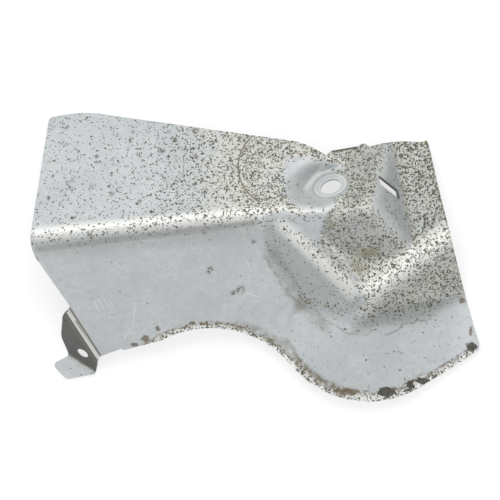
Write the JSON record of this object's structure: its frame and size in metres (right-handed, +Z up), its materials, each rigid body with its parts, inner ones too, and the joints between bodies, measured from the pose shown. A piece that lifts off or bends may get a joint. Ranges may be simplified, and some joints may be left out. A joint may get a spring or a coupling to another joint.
{
  "type": "shield plate",
  "caption": "stamped sheet-metal shield plate with folded top, front wall, raised bolt boss, flared skirt with lip and a bent fixing tab",
  "frame": {"origin": "centre of the box on the floor it rests on", "axes": "+X along the length to the boss end, +Z up as it rests open side down"},
  "size_m": [0.2308, 0.151, 0.0534],
  "materials": {
    "sheet": "aluminised, pitted"
  },
  "bodies": {
    "root": {"shield_plate": "sheet"}
  },
  "joints": []
}
